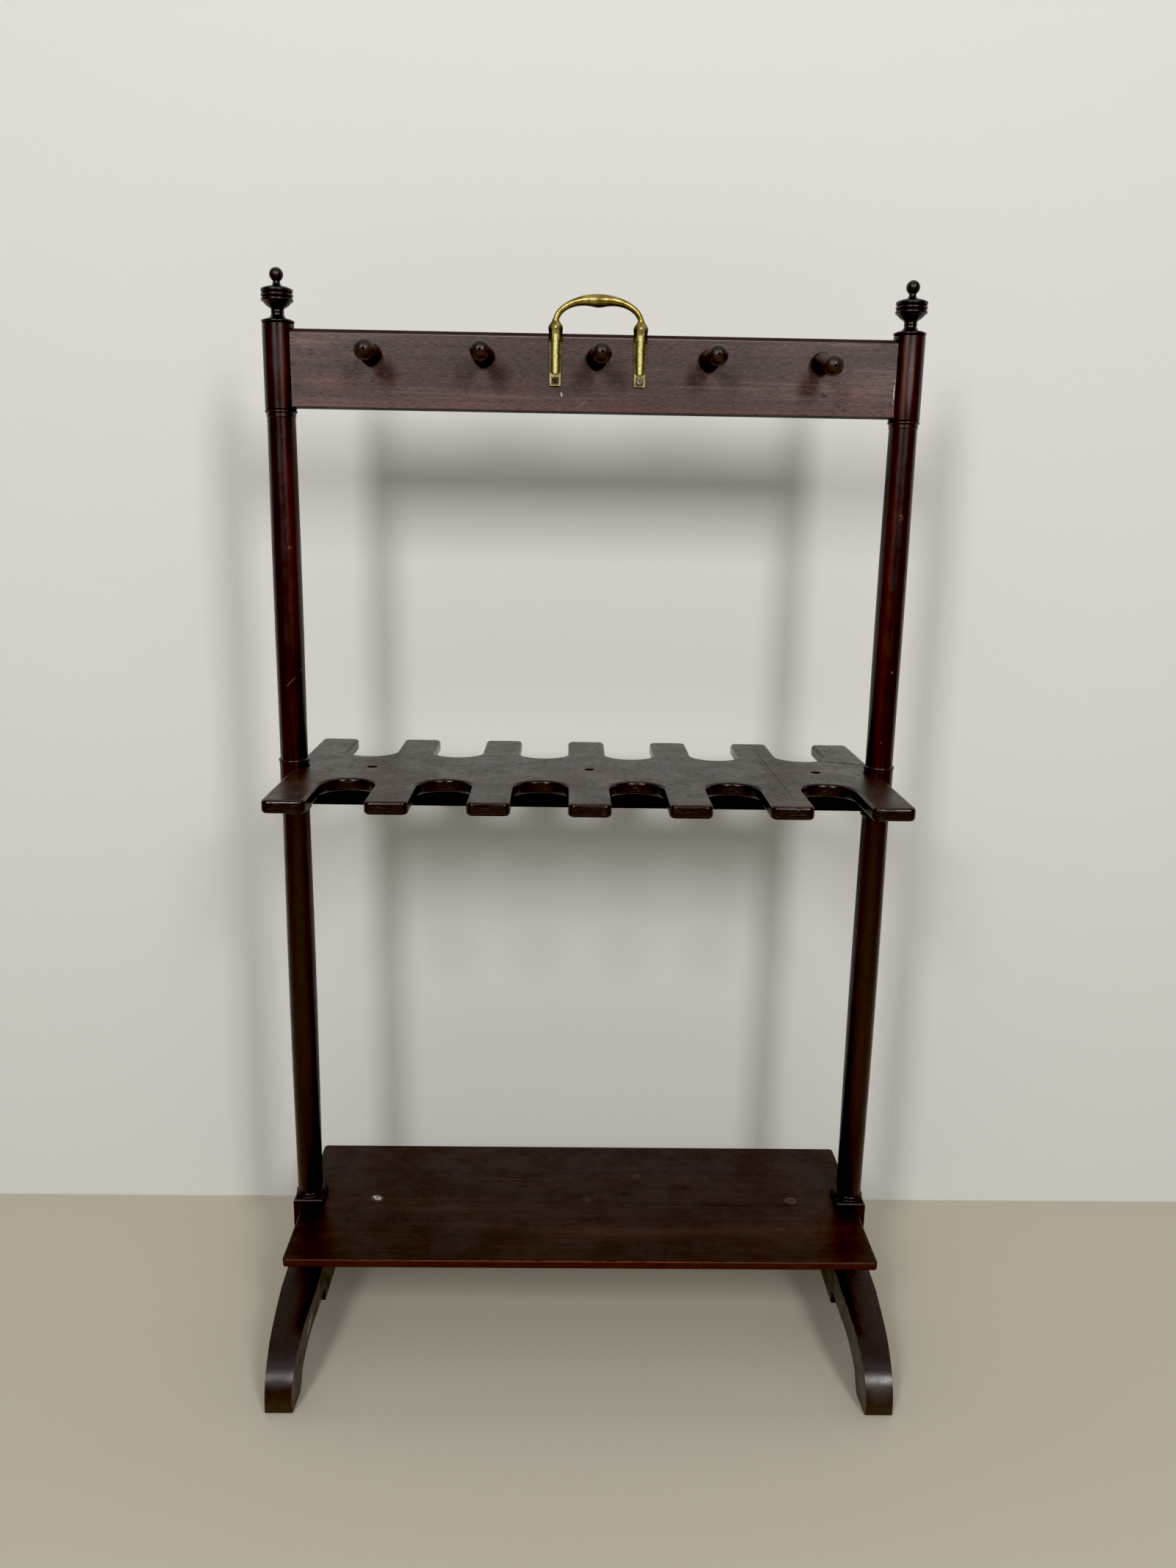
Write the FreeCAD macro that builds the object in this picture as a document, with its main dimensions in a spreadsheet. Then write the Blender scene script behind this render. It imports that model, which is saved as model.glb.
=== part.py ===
"""Victorian boot and whip rack, built as a parametric FreeCAD document.

Two turned posts stand on shaped trestle feet.  A top rail carries five whip pegs and a brass
carrying handle, a notched comb holds boots upside down by their legs, and a shelf near the floor
ties the feet together.  Millimetres; +Z up; the front of the rack faces -Y; the origin is on the
floor, midway between the posts.
"""
import FreeCAD, Part
import math
import os
import Sketcher

SIZES = [
    # frame
    ("post_spacing", 560.0), ("joint_play", 0.1),
    # posts, heights above the floor
    ("block_side", 29.6), ("block_top", 127.8), ("block_shoulder", 2.5),
    ("shaft_foot_radius", 12.45), ("shaft_middle_radius", 12.8), ("shaft_top_radius", 12.6),
    ("swell_radius", 13.7), ("swell_base", 541.0), ("swell_top", 585.0),
    ("head_radius", 14.0), ("head_base", 904.0), ("post_top", 979.5),
    ("bead_radius", 1.9),
    ("foot_tenon_side", 18.0), ("foot_tenon_length", 34.0),
    # trestle feet
    ("foot_half_length", 167.0), ("foot_width", 35.0), ("toe_width", 25.0), ("taper_start", 48.0),
    ("foot_height", 66.5), ("pendant_half", 29.0), ("pendant_bottom", 21.5), ("arch_height", 36.5),
    ("toe_pad", 29.0),
    # top rail
    ("rail_top", 975.0), ("rail_bottom", 908.0), ("rail_thickness", 16.0), ("rail_chamfer", 3.4),
    ("rail_tenon_thickness", 8.0), ("rail_tenon_width", 48.0),
    ("housing_offset", 10.0), ("tenon_reach", 4.0),
    # whip pegs
    ("peg_spacing", 99.6), ("peg_shift", 1.4), ("peg_height", 954.3), ("peg_flange_radius", 9.4),
    ("peg_neck_radius", 5.0), ("peg_knob_radius", 9.0), ("peg_length", 48.0),
    ("peg_spigot_radius", 4.5), ("peg_spigot_length", 11.0),
    # comb and its bearer
    ("comb_top", 580.7), ("comb_thickness", 12.0), ("comb_depth", 280.0),
    ("finger_pitch", 86.8), ("finger_width", 37.6), ("notch_depth", 89.0),
    ("finger_corner", 6.0), ("comb_round", 3.0), ("comb_end_gap", 0.8),
    ("comb_bearer_bottom", 545.6), ("bearer_thickness", 22.0), ("bearer_housing_offset", 8.0),
    ("bearer_tenon_width", 14.0), ("bearer_tenon_thickness", 10.0),
    # base shelf and its bearer
    ("shelf_top", 121.4), ("shelf_thickness", 8.4), ("shelf_length", 572.0), ("shelf_depth", 214.0),
    ("shelf_corner", 4.0), ("shelf_round", 1.6), ("shelf_bearer_bottom", 78.0),
    ("shelf_tenon_length", 12.0), ("shelf_tenon_width", 24.0),
    # wood screws and pellets
    ("comb_screw_left", 206.0), ("comb_screw_middle", 1.5), ("comb_screw_right", 219.0),
    ("shelf_screw_left", 211.5), ("shelf_screw_middle", 7.0), ("shelf_screw_right", 220.0),
    ("counterbore_radius", 4.9), ("counterbore_depth", 5.0),
    ("screw_head_radius", 4.2), ("screw_head_height", 2.4), ("screw_shank_radius", 2.1),
    ("screw_length", 25.0), ("screw_slot", 0.9), ("pellet_thickness", 2.4),
    # brass handle
    ("handle_spacing", 74.8), ("handle_shift", 2.4),
    ("strap_bottom", 930.5), ("strap_width", 9.6), ("strap_top_width", 11.2), ("strap_thickness", 2.0),
    ("strap_top", 974.0), ("tab_recess", 6.8),
    ("moulding_bottom", 940.5), ("moulding_top", 975.0), ("moulding_radius", 3.6),
    ("moulding_sunk", 1.6), ("bar_plane", 12.4),
    ("socket_bottom", 966.5), ("socket_width", 12.8), ("socket_depth", 7.8), ("socket_height", 20.0),
    ("bar_root_radius", 2.7), ("bar_middle_radius", 5.6),
    ("bar_height", 1001.9), ("bar_reach", 30.0), ("bar_rise", 18.6),
    ("handle_screw_height", 935.6), ("handle_screw_radius", 2.6), ("handle_screw_shank", 1.3),
    ("handle_screw_length", 12.0),
    # finials
    ("finial_ball_radius", 6.05), ("finial_ball_height", 40.4), ("finial_reed_radius", 14.1),
    ("finial_spigot_radius", 5.5), ("finial_spigot_length", 12.0),
]
SHEET = "Sizes"
# how far each whip peg leans from square, in degrees to the right and up; the last has worked loose
PEG_LEANS = ((1, -0.5), (-0.5, 1), (5, 0.9), (4.5, 0.5), (4, -8.6))


class Size:
    """A length that knows both its value and the spreadsheet expression that gives it."""

    def __init__(self, value, text):
        self.value = float(value)
        self.text = text

    def _with(self, other, sign, value):
        text = other.text if isinstance(other, Size) else repr(float(other))
        return Size(value, "(%s %s %s)" % (self.text, sign, text))

    def __add__(self, other):
        return self._with(other, "+", self.value + plain(other))

    def __sub__(self, other):
        return self._with(other, "-", self.value - plain(other))

    def __mul__(self, other):
        return self._with(other, "*", self.value * plain(other))

    def __truediv__(self, other):
        return self._with(other, "/", self.value / plain(other))

    def __neg__(self):
        return Size(-self.value, "(-1 * %s)" % self.text)


def plain(length):
    """The number behind a Size or a plain number."""
    return length.value if isinstance(length, Size) else float(length)


class Sizes:
    """The driving dimensions by name, each bound to its spreadsheet cell."""

    def __init__(self, doc, table):
        sheet = doc.addObject("Spreadsheet::Sheet", SHEET)
        for row, (name, value) in enumerate(table, start=1):
            sheet.set("A%d" % row, name)
            sheet.set("B%d" % row, str(value))
            sheet.setAlias("B%d" % row, name)
            setattr(self, name, Size(value, "%s.%s" % (SHEET, name)))


def bind(item, prop, length):
    """Set one property to a size and keep it tied to the spreadsheet."""
    if isinstance(length, Size):
        item.setExpression(prop, length.text)
    else:
        setattr(item, prop, length)


def place(item, x=0, y=0, z=0, axis=None, angle=0):
    """Put an object at x, y, z (sizes or numbers), turned by angle about axis."""
    turn = FreeCAD.Rotation(FreeCAD.Vector(*axis), angle) if axis else FreeCAD.Rotation()
    item.Placement = FreeCAD.Placement(FreeCAD.Vector(plain(x), plain(y), plain(z)), turn)
    for letter, length in (("x", x), ("y", y), ("z", z)):
        if isinstance(length, Size):
            item.setExpression("Placement.Base." + letter, length.text)


# ---------------------------------------------------------------- sketches and features

def new_body(doc, label):
    body = doc.addObject("PartDesign::Body", label)
    body.Label = label
    return body


def origin_plane(body, role):
    return next(item for item in body.Origin.OriginFeatures if item.Role == role)


def new_sketch(body, role, name, lift=0):
    """A sketch on one of the body's own origin planes, lifted along the plane's normal."""
    sketch = body.newObject("Sketcher::SketchObject", name)
    sketch.AttachmentSupport = [(origin_plane(body, role), "")]
    sketch.MapMode = "FlatFace"
    if lift:
        sketch.AttachmentOffset = FreeCAD.Placement(FreeCAD.Vector(0, 0, plain(lift)), FreeCAD.Rotation())
        if isinstance(lift, Size):
            sketch.setExpression(".AttachmentOffset.Base.z", lift.text)
    return sketch


def pin_point(sketch, geometry, point, across, up):
    """Fix a sketch point at its distances from the sketch's origin."""
    for kind, length in (("DistanceX", across), ("DistanceY", up)):
        if plain(length) == 0:
            index = sketch.addConstraint(Sketcher.Constraint(
                "PointOnObject", geometry, point, -2 if kind == "DistanceX" else -1))
            continue
        index = sketch.addConstraint(Sketcher.Constraint(kind, -1, 1, geometry, point, plain(length)))
        if isinstance(length, Size):
            sketch.setExpression("Constraints[%d]" % index, length.text)


def draw_outline(sketch, steps):
    """Draw a closed outline.  Each step is (across, up), reached by a line, or
    (across, up, bulge), reached by an arc whose rise over its chord is bulge:
    positive bows to the right of the direction of travel."""
    corners = [(step[0], step[1]) for step in steps]
    for number, step in enumerate(steps):
        start = FreeCAD.Vector(plain(corners[number - 1][0]), plain(corners[number - 1][1]), 0)
        end = FreeCAD.Vector(plain(step[0]), plain(step[1]), 0)
        if len(step) == 2:
            sketch.addGeometry(Part.LineSegment(start, end))
            continue
        chord = end - start
        side = FreeCAD.Vector(chord.y, -chord.x, 0).normalize()
        bulge = plain(step[2])
        middle = (start + end) * 0.5 + side * bulge
        first, last = (start, end) if bulge > 0 else (end, start)
        sketch.addGeometry(Part.Arc(first, middle, last))
    count = len(steps)
    ends = [end_points(sketch.Geometry[number], corners[number - 1]) for number in range(count)]
    for number in range(count):
        following = (number + 1) % count
        sketch.addConstraint(Sketcher.Constraint(
            "Coincident", number, ends[number][1], following, ends[following][0]))
        curve = sketch.Geometry[number]
        if isinstance(curve, Part.ArcOfCircle) and not is_half_round(curve):
            sketch.addConstraint(Sketcher.Constraint("Radius", number, curve.Radius))
        pin_point(sketch, number, ends[number][1], *corners[number])


def is_half_round(arc):
    """A half circle's radius already follows from its two ends."""
    return (arc.EndPoint - arc.StartPoint).Length > 1.98 * arc.Radius


def end_points(curve, corner):
    """Which of a curve's ends (1 or 2) is its start and which its finish on the outline."""
    start = FreeCAD.Vector(plain(corner[0]), plain(corner[1]), 0)
    return (1, 2) if (curve.StartPoint - start).Length < 1e-6 else (2, 1)


def box_outline(left, bottom, right, top):
    return [(right, bottom), (right, top), (left, top), (left, bottom)]


def draw_circle(sketch, across, up, radius):
    number = sketch.addGeometry(Part.Circle(
        FreeCAD.Vector(plain(across), plain(up), 0), FreeCAD.Vector(0, 0, 1), plain(radius)))
    pin_point(sketch, number, 3, across, up)
    index = sketch.addConstraint(Sketcher.Constraint("Radius", number, plain(radius)))
    if isinstance(radius, Size):
        sketch.setExpression("Constraints[%d]" % index, radius.text)


def pad(body, sketch, name, length, both_ways=False):
    feature = body.newObject("PartDesign::Pad", name)
    feature.Profile = sketch
    bind(feature, "Length", length)
    feature.Midplane = both_ways
    body.Document.recompute()
    return feature


def pocket(body, sketch, name, length, forward=False):
    """Cut a sketch out of the body and check that it took something away; forward cuts along
    the sketch's normal instead of against it."""
    before = body.Shape.Volume
    feature = body.newObject("PartDesign::Pocket", name)
    feature.Profile = sketch
    bind(feature, "Length", length)
    feature.Reversed = forward
    body.Document.recompute()
    if body.Shape.Volume > before - 1e-3:
        raise RuntimeError("%s cuts nothing from %s" % (name, body.Label))
    return feature


def turn_profile(body, steps, name):
    """Revolve a half profile, given as (radius, height) steps, about the body's Z axis."""
    sketch = new_sketch(body, "XZ_Plane", name + "_profile")
    draw_outline(sketch, steps)
    feature = body.newObject("PartDesign::Revolution", name)
    feature.Profile = sketch
    feature.ReferenceAxis = (sketch, ["V_Axis"])
    feature.Angle = 360
    body.Document.recompute()
    return feature


def mirror_feature(body, feature, role, name):
    mirrored = body.newObject("PartDesign::Mirrored", name)
    mirrored.Originals = [feature]
    mirrored.MirrorPlane = (origin_plane(body, role), [""])
    body.Tip = mirrored
    body.Document.recompute()
    return mirrored


def edge_names(shape, wanted):
    return ["Edge%d" % number for number, edge in enumerate(shape.Edges, start=1) if wanted(edge)]


def round_edges(body, name, radius, wanted, kind="Fillet"):
    """Fillet or chamfer the tip's edges that the test accepts."""
    base = body.Tip
    edges = edge_names(base.Shape, wanted)
    if not edges:
        raise RuntimeError("%s finds no edge on %s" % (name, body.Label))
    feature = body.newObject("PartDesign::" + kind, name)
    feature.Base = (base, edges)
    bind(feature, "Radius" if kind == "Fillet" else "Size", radius)
    body.Document.recompute()
    return feature


def is_upright(edge):
    box = edge.BoundBox
    return box.ZLength > 1 and box.XLength < 1e-4 and box.YLength < 1e-4


def lies_at(edge, height):
    box = edge.BoundBox
    return abs(box.ZMin - height) < 1e-3 and abs(box.ZMax - height) < 1e-3


# ---------------------------------------------------------------- posts and finials

def bead(radius, height, tube):
    """Two profile steps of a half-round bead of tube radius around a turned post."""
    return [(radius, height - tube), (radius, height + tube, tube)]


def post(doc, size, label, side):
    """One turned post.  Its mortises face +X, and the right-hand post is the same one turned
    half a turn."""
    body = new_body(doc, label)
    half_block = size.block_side / 2
    block_sketch = new_sketch(body, "XY_Plane", label + "_block", size.foot_height)
    draw_outline(block_sketch, box_outline(-half_block, -half_block, half_block, half_block))
    pad(body, block_sketch, label + "_block_pad", size.block_top - size.foot_height)
    round_edges(body, label + "_shoulder", size.block_shoulder,
                lambda edge: lies_at(edge, plain(size.block_top)))

    tube = size.bead_radius
    waist = size.block_top + tube * 4
    steps = [(0, size.block_top - 6), (size.shaft_foot_radius, size.block_top - 6)]
    steps += bead(size.shaft_foot_radius, size.block_top + tube * 0.5, tube)
    steps += bead(size.shaft_foot_radius, size.block_top + tube * 2.4, tube * 0.85)
    steps += [(size.shaft_foot_radius, waist + 2),
              (size.shaft_middle_radius, size.swell_base - tube * 2, 0.9),
              (size.swell_radius, size.swell_base - tube)]
    steps += bead(size.swell_radius, size.swell_base, tube * 0.6)
    steps += [(size.swell_radius, size.swell_top)]
    steps += bead(size.swell_radius - 0.9, size.swell_top + tube, tube * 0.9)
    steps += [(size.shaft_middle_radius, size.swell_top + tube * 2.2),
              (size.shaft_top_radius, size.head_base - tube * 2.4, 0.5),
              (size.shaft_top_radius + 0.5, size.head_base - tube * 2)]
    steps += bead(size.head_radius - 1.0, size.head_base + 0.6, tube * 0.75)
    steps += [(size.head_radius, size.head_base + tube * 1.4), (size.head_radius, size.post_top - 1),
              (size.head_radius - 1, size.post_top), (0, size.post_top)]
    turn_profile(body, steps, label + "_turning")

    tenon = size.foot_tenon_side / 2
    tenon_sketch = new_sketch(body, "XY_Plane", label + "_tenon", size.foot_height - size.foot_tenon_length)
    draw_outline(tenon_sketch, box_outline(-tenon, -tenon, tenon, tenon))
    pad(body, tenon_sketch, label + "_tenon_pad", size.foot_tenon_length + 1)

    cut_mortise(body, size, "rail_housing", size.rail_bottom, size.rail_top, size.rail_thickness,
                size.housing_offset, size.head_radius + 1)
    middle = (size.rail_bottom + size.rail_top) / 2
    cut_mortise(body, size, "rail_mortise", middle - size.rail_tenon_width / 2,
                middle + size.rail_tenon_width / 2, size.rail_tenon_thickness,
                -size.tenon_reach, size.housing_offset + 0.5)
    bearer_top = size.comb_top - size.comb_thickness
    cut_mortise(body, size, "bearer_housing", size.comb_bearer_bottom, bearer_top,
                size.bearer_thickness, size.bearer_housing_offset, size.swell_radius + 2)
    middle = (size.comb_bearer_bottom + bearer_top) / 2
    cut_mortise(body, size, "bearer_mortise", middle - size.bearer_tenon_width / 2,
                middle + size.bearer_tenon_width / 2, size.bearer_tenon_thickness,
                -size.tenon_reach, size.bearer_housing_offset + 0.5)
    middle = (size.shelf_bearer_bottom + size.shelf_top - size.shelf_thickness) / 2
    cut_mortise(body, size, "shelf_mortise", middle - size.shelf_tenon_width / 2,
                middle + size.shelf_tenon_width / 2, size.bearer_tenon_thickness,
                half_block - size.shelf_tenon_length, half_block + 1)

    bore_sketch = new_sketch(body, "XY_Plane", label + "_finial_bore",
                             size.post_top - size.finial_spigot_length - 1)
    draw_circle(bore_sketch, 0, 0, size.finial_spigot_radius + size.joint_play)
    pocket(body, bore_sketch, label + "_finial_bore_cut", size.finial_spigot_length + 2, forward=True)
    place(body, size.post_spacing * (side / 2.0), 0, 0, (0, 0, 1), 0 if side < 0 else 180)
    return body


def cut_mortise(body, size, name, bottom, top, thickness, near, far):
    """A rectangular hole that enters the post from +X, between the near and far distances."""
    sketch = new_sketch(body, "YZ_Plane", body.Label + "_" + name, near)
    draw_outline(sketch, box_outline(-thickness / 2, bottom, thickness / 2, top))
    pocket(body, sketch, body.Label + "_" + name + "_cut", far - near, forward=True)


def finial(doc, size, label, side):
    """Ball finial over three reeds and a turned bowl, with a spigot down into the post."""
    body = new_body(doc, label)
    ball, reed = size.finial_ball_radius, size.finial_reed_radius
    spigot, deep = size.finial_spigot_radius, size.finial_spigot_length
    lift = deep
    neck_radius, waist_radius = 3.2, 5.8
    reed_pitch, reed_tube = 3.8, 1.8
    steps = [
        (0, 0), (spigot, 0), (spigot, lift),
        (size.head_radius - 0.6, lift), (size.head_radius - 0.6, lift + 2.4, 1.1),
        (size.head_radius - 2.6, lift + 3.2, -0.2), (waist_radius, lift + 6.6, -1.0),
        (waist_radius, lift + 9.4, -0.25), (reed - 7.6, lift + 12.6, -0.5),
        (reed - reed_tube, lift + 17.6, 0.5)]
    for number in range(3):
        base = lift + 17.6 + reed_pitch * number
        steps += [(reed - reed_tube, base + reed_pitch - 0.2, 1.7)]
        if number < 2:
            steps += [(reed - reed_tube, base + reed_pitch)]
    ball_joint = lift + size.finial_ball_height - math.sqrt(plain(ball) ** 2 - neck_radius ** 2)
    steps += [(5.8, lift + 30.6, 0.4), (neck_radius, ball_joint, -1.0),
              (0, lift + size.finial_ball_height + ball, ball_bulge(plain(ball), neck_radius))]
    turn_profile(body, steps, label + "_turning")
    place(body, size.post_spacing * (side / 2.0), 0, size.post_top - deep)
    return body


def ball_bulge(radius, neck):
    """How far a ball's outline bows from the chord between its neck and its top."""
    below = math.sqrt(radius ** 2 - neck ** 2)
    chord = math.hypot(neck, radius + below)
    return radius - math.sqrt(radius ** 2 - (chord / 2) ** 2)


# ---------------------------------------------------------------- feet

def trestle_foot(doc, size, label, side):
    """Foot sawn from the solid: gently arched back, rounded toes, and a deeper middle that
    takes the post's tenon.  The outline is drawn for one half and mirrored to the other."""
    body = new_body(doc, label)
    reach, crown = size.foot_half_length, size.foot_height
    outline = [
        (0, size.pendant_bottom), (size.pendant_half, size.pendant_bottom),
        (size.pendant_half, size.arch_height - 2), (size.pendant_half + 2, size.arch_height, -0.6),
        (size.pendant_half + 46, size.arch_height - 0.6),
        (reach - 40, size.arch_height * 0.48, -4.4),
        (reach - size.toe_pad, 0, 1.0),
        (reach - 3, 0), (reach, 3, 0.8), (reach - 0.1, 8.6),
        (reach - 16.4, crown - 26.7, 4.2), (reach - 55, crown - 9, 3.0),
        (size.block_side / 2 + 3, crown, 1.7), (0, crown)]
    sketch = new_sketch(body, "YZ_Plane", label + "_outline")
    draw_outline(sketch, outline)
    half = pad(body, sketch, label + "_half", size.foot_width, both_ways=True)
    mirror_feature(body, half, "XZ_Plane", label + "_other_half")

    taper = new_sketch(body, "XY_Plane", label + "_taper", -1)
    wide, narrow = size.foot_width / 2, size.toe_width / 2
    draw_outline(taper, [(wide + 1, reach + 1), (narrow, reach + 1), (wide + 1, size.taper_start)])
    cut = pocket(body, taper, label + "_taper_cut", crown + 2, forward=True)
    mirror_feature(body, cut, "YZ_Plane", label + "_taper_other_side")
    back = new_sketch(body, "XY_Plane", label + "_back_taper", -1)
    draw_outline(back, [(wide + 1, -size.taper_start), (narrow, -(reach + 1)), (wide + 1, -(reach + 1))])
    back_cut = pocket(body, back, label + "_back_taper_cut", crown + 2, forward=True)
    mirror_feature(body, back_cut, "YZ_Plane", label + "_back_taper_other_side")

    tenon = size.foot_tenon_side / 2
    mortise = new_sketch(body, "XY_Plane", label + "_mortise", crown - size.foot_tenon_length)
    draw_outline(mortise, box_outline(-tenon, -tenon, tenon, tenon))
    pocket(body, mortise, label + "_mortise_cut", size.foot_tenon_length + 1, forward=True)
    place(body, size.post_spacing * (side / 2.0))
    return body


# ---------------------------------------------------------------- rail and pegs

def top_rail(doc, size):
    """The rail across the posts' heads, chamfered along its top, with its housed ends, tenons
    and the blind holes for the pegs and the handle's screws."""
    body = new_body(doc, "top_rail")
    housed = size.post_spacing / 2 - size.housing_offset
    section = new_sketch(body, "XZ_Plane", "rail_face")
    draw_outline(section, box_outline(-housed, size.rail_bottom, housed, size.rail_top))
    pad(body, section, "rail_board", size.rail_thickness, both_ways=True)
    round_edges(body, "rail_chamfer_edge", size.rail_chamfer,
                lambda edge: lies_at(edge, plain(size.rail_top)) and edge.BoundBox.YLength < 1e-3,
                kind="Chamfer")
    reach = size.post_spacing / 2 + size.tenon_reach
    middle = (size.rail_top + size.rail_bottom) / 2
    tenon = new_sketch(body, "XZ_Plane", "rail_tenons")
    draw_outline(tenon, box_outline(-reach, middle - size.rail_tenon_width / 2,
                                    reach, middle + size.rail_tenon_width / 2))
    pad(body, tenon, "rail_tenon_tongue", size.rail_tenon_thickness, both_ways=True)

    for number in range(1, 6):
        drill_rail(body, "peg_hole_%d" % number, peg_mouth(size, number), PEG_LEANS[number - 1],
                   size.peg_spigot_radius + size.joint_play, plain(size.peg_spigot_length) + 1)
    for side, word in ((-1, "left"), (1, "right")):
        mouth = (strap_middle(size, side), size.handle_screw_height, size.rail_thickness / 2)
        drill_rail(body, word + "_handle_hole", mouth, (0, 0),
                   size.handle_screw_shank + size.joint_play / 2, plain(size.handle_screw_length))
    return body


def peg_mouth(size, number):
    """Where a peg's hole opens on the rail's face: across, up, and out from the rail's middle."""
    return (size.peg_shift + size.peg_spacing * (number - 3.0), size.peg_height, size.rail_thickness / 2)


def drill_rail(body, name, mouth, lean, radius, depth):
    """A blind hole from the rail's front face, leaning to the right and up by lean degrees."""
    sketch = body.newObject("Sketcher::SketchObject", name)
    sketch.AttachmentSupport = [(origin_plane(body, "XZ_Plane"), "")]
    sketch.MapMode = "FlatFace"
    outward = FreeCAD.Vector(*[math.tan(math.radians(angle)) for angle in lean], 1).normalize()
    opening = FreeCAD.Vector(*[plain(length) for length in mouth])
    sketch.AttachmentOffset = FreeCAD.Placement(
        opening - outward * depth, FreeCAD.Rotation(FreeCAD.Vector(0, 0, 1), outward))
    for letter, length in (("x", mouth[0]), ("y", mouth[1])):
        if lean == (0, 0):
            sketch.setExpression(".AttachmentOffset.Base." + letter, length.text)
    draw_circle(sketch, 0, 0, radius)
    pocket(body, sketch, name + "_cut", depth + 3, forward=True)


def whip_peg(doc, size, number):
    """Turned peg: a full, domed base against the rail, a short waist and an egg-shaped knob."""
    body = new_body(doc, "whip_peg_%d" % number)
    spigot, base = size.peg_spigot_radius, size.peg_flange_radius
    waist, knob = size.peg_neck_radius, size.peg_knob_radius
    face = size.peg_spigot_length
    tip = face + size.peg_length
    steps = [
        (0, 0), (spigot, 0), (spigot, face), (base - 0.4, face), (base, face + 2, 0.25),
        (base - 1.2, face + 8, 0.3), (waist + 1.3, face + 13), (waist + 1.6, face + 28, -1.45),
        (knob, tip - 9, 0.6), (knob / 2, tip - 1.2, 1.2), (1.2, tip, 0.17), (0, tip - 1.6)]
    turn_profile(body, steps, "peg_%d_turning" % number)
    across, up, out = peg_mouth(size, number)
    right, rise = [math.tan(math.radians(angle)) for angle in PEG_LEANS[number - 1]]
    outward = FreeCAD.Vector(right, -1, rise).normalize()
    stand_off = plain(base) * math.hypot(outward.x, outward.z)
    mouth = FreeCAD.Vector(plain(across), -plain(out), plain(up))
    body.Placement = FreeCAD.Placement(mouth + outward * (stand_off - plain(face)),
                                       FreeCAD.Rotation(FreeCAD.Vector(0, 0, 1), outward))
    return body


# ---------------------------------------------------------------- comb, shelf and bearers

def boot_comb(doc, size):
    """Board with seven fingers to the front and seven to the back, cut away round the posts."""
    body = new_body(doc, "boot_comb")
    half_length = size.finger_pitch * 3 + size.finger_width / 2
    half_depth = size.comb_depth / 2
    underside = size.comb_top - size.comb_thickness
    board = new_sketch(body, "XY_Plane", "comb_board", underside)
    draw_outline(board, box_outline(-half_length, -half_depth, half_length, half_depth))
    pad(body, board, "comb_board_pad", size.comb_thickness)

    notch_radius = (size.finger_pitch - size.finger_width) / 2
    round_start = half_depth - size.notch_depth + notch_radius
    notch = new_sketch(body, "XY_Plane", "comb_notches", underside)
    for number in range(6):
        centre = size.finger_pitch * (number - 2.5)
        for front in (-1, 1):
            draw_notch(notch, centre, notch_radius, round_start * front, (half_depth + 1) * front)
    pocket(body, notch, "comb_notch_cut", size.comb_thickness, forward=True)

    around_posts = new_sketch(body, "XY_Plane", "comb_post_cutouts", underside)
    for side in (-1, 1):
        draw_circle(around_posts, size.post_spacing * (side / 2.0), 0, size.swell_radius + size.comb_end_gap)
    pocket(body, around_posts, "comb_post_cut", size.comb_thickness, forward=True)
    reach = plain(half_depth) - 0.01
    round_edges(body, "finger_corners", size.finger_corner,
                lambda edge: is_upright(edge) and abs(edge.BoundBox.YMin) > reach)
    top, bottom = plain(size.comb_top), plain(underside)
    cut_out = plain(size.swell_radius + size.comb_end_gap) + 0.5
    middle = plain(size.post_spacing) / 2
    round_edges(body, "comb_edges", size.comb_round,
                lambda edge: (lies_at(edge, top) or lies_at(edge, bottom)) and not (
                    abs(edge.BoundBox.YMax) < cut_out and abs(edge.BoundBox.XMax) > middle - cut_out - 2
                    and edge.BoundBox.YLength < 2 * cut_out))
    sink_screws(body, size, comb_screw_places(size), size.comb_top, size.comb_thickness)
    return body


def draw_notch(sketch, centre, radius, round_start, mouth):
    """One round-ended slot from the mouth inward, appended to a sketch of several."""
    left, right = plain(centre - radius), plain(centre + radius)
    inner, outer = plain(round_start), plain(mouth)
    outward = 1 if outer > 0 else -1
    first = sketch.GeometryCount
    corners = [FreeCAD.Vector(left, inner, 0), FreeCAD.Vector(left, outer, 0),
               FreeCAD.Vector(right, outer, 0), FreeCAD.Vector(right, inner, 0)]
    for number in range(3):
        sketch.addGeometry(Part.LineSegment(corners[number], corners[number + 1]))
    apex = FreeCAD.Vector(plain(centre), inner - outward * plain(radius), 0)
    ends = (corners[0], corners[3]) if outward > 0 else (corners[3], corners[0])
    sketch.addGeometry(Part.Arc(ends[0], apex, ends[1]))
    start, finish = (1, 2) if outward > 0 else (2, 1)
    for number in range(2):
        sketch.addConstraint(Sketcher.Constraint("Coincident", first + number, 2, first + number + 1, 1))
    sketch.addConstraint(Sketcher.Constraint("Coincident", first + 2, 2, first + 3, finish))
    sketch.addConstraint(Sketcher.Constraint("Coincident", first + 3, start, first, 1))
    pin_point(sketch, first, 1, centre - radius, round_start)
    pin_point(sketch, first, 2, centre - radius, mouth)
    pin_point(sketch, first + 1, 2, centre + radius, mouth)
    pin_point(sketch, first + 2, 2, centre + radius, round_start)


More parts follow.
